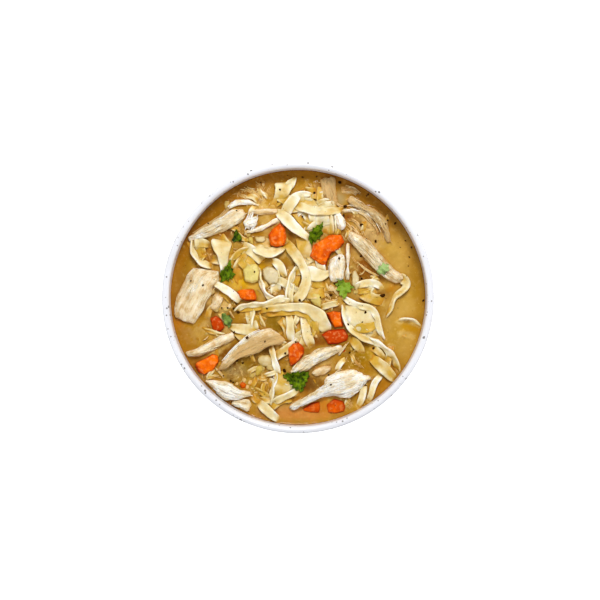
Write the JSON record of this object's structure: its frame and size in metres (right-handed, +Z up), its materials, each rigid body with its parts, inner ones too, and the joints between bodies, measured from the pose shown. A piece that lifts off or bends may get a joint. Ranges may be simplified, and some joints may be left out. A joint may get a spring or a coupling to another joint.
{
  "type": "bowl of chicken noodle soup",
  "caption": "Round stoneware bowl filled with clear golden broth, wide egg noodles, shredded chicken, diced carrot, celery, onion and parsley.",
  "frame": {"origin": "centre of the foot ring's resting face", "axes": "+Z up along the bowl's axis; +X and +Y along the table, with +Y towards the back of the bowl as served"},
  "size_m": [0.18, 0.18, 0.07],
  "materials": {
    "stoneware": "gloss",
    "broth": "gloss",
    "noodle": "satin",
    "chicken": "satin",
    "carrot": "satin",
    "celery": "satin",
    "onion": "satin",
    "parsley": "satin",
    "pepper": "matte"
  },
  "bodies": {
    "root": {"bowl": "stoneware", "broth": "broth", "carrot_01": "carrot", "carrot_02": "carrot", "carrot_03": "carrot", "carrot_04": "carrot", "carrot_05": "carrot", "carrot_06": "carrot", "carrot_07": "carrot", "carrot_08": "carrot", "carrot_09": "carrot", "carrot_10": "carrot", "carrot_11": "carrot", "celery_01": "celery", "celery_02": "celery", "celery_03": "celery", "celery_04": "celery", "celery_05": "celery", "chicken_back": "chicken", "chicken_back_small": "chicken", "chicken_block_back": "chicken", "chicken_block_middle": "chicken", "chicken_chunk_front": "chicken", "chicken_lobe_front": "chicken", "chicken_oval": "chicken", "chicken_pale_left": "chicken", "chicken_shred_arc_back": "chicken", "chicken_shred_arc_right": "chicken", "chicken_shred_flat": "chicken", "chicken_shred_straight": "chicken", "chicken_shred_thin": "chicken", "chicken_shred_upright": "chicken", "chicken_shredded": "chicken", "chicken_slab_curved": "chicken", "chicken_slab_left": "chicken", "chicken_strip_back": "chicken", "chicken_strip_front": "chicken", "chicken_strip_left": "chicken", "chicken_strip_long": "chicken", "chicken_strip_right": "chicken", "noodle_front": "noodle", "noodle_heap": "noodle", "noodle_right": "noodle", "onion_01": "onion", "onion_02": "onion", "onion_03": "onion"}
  },
  "joints": []
}
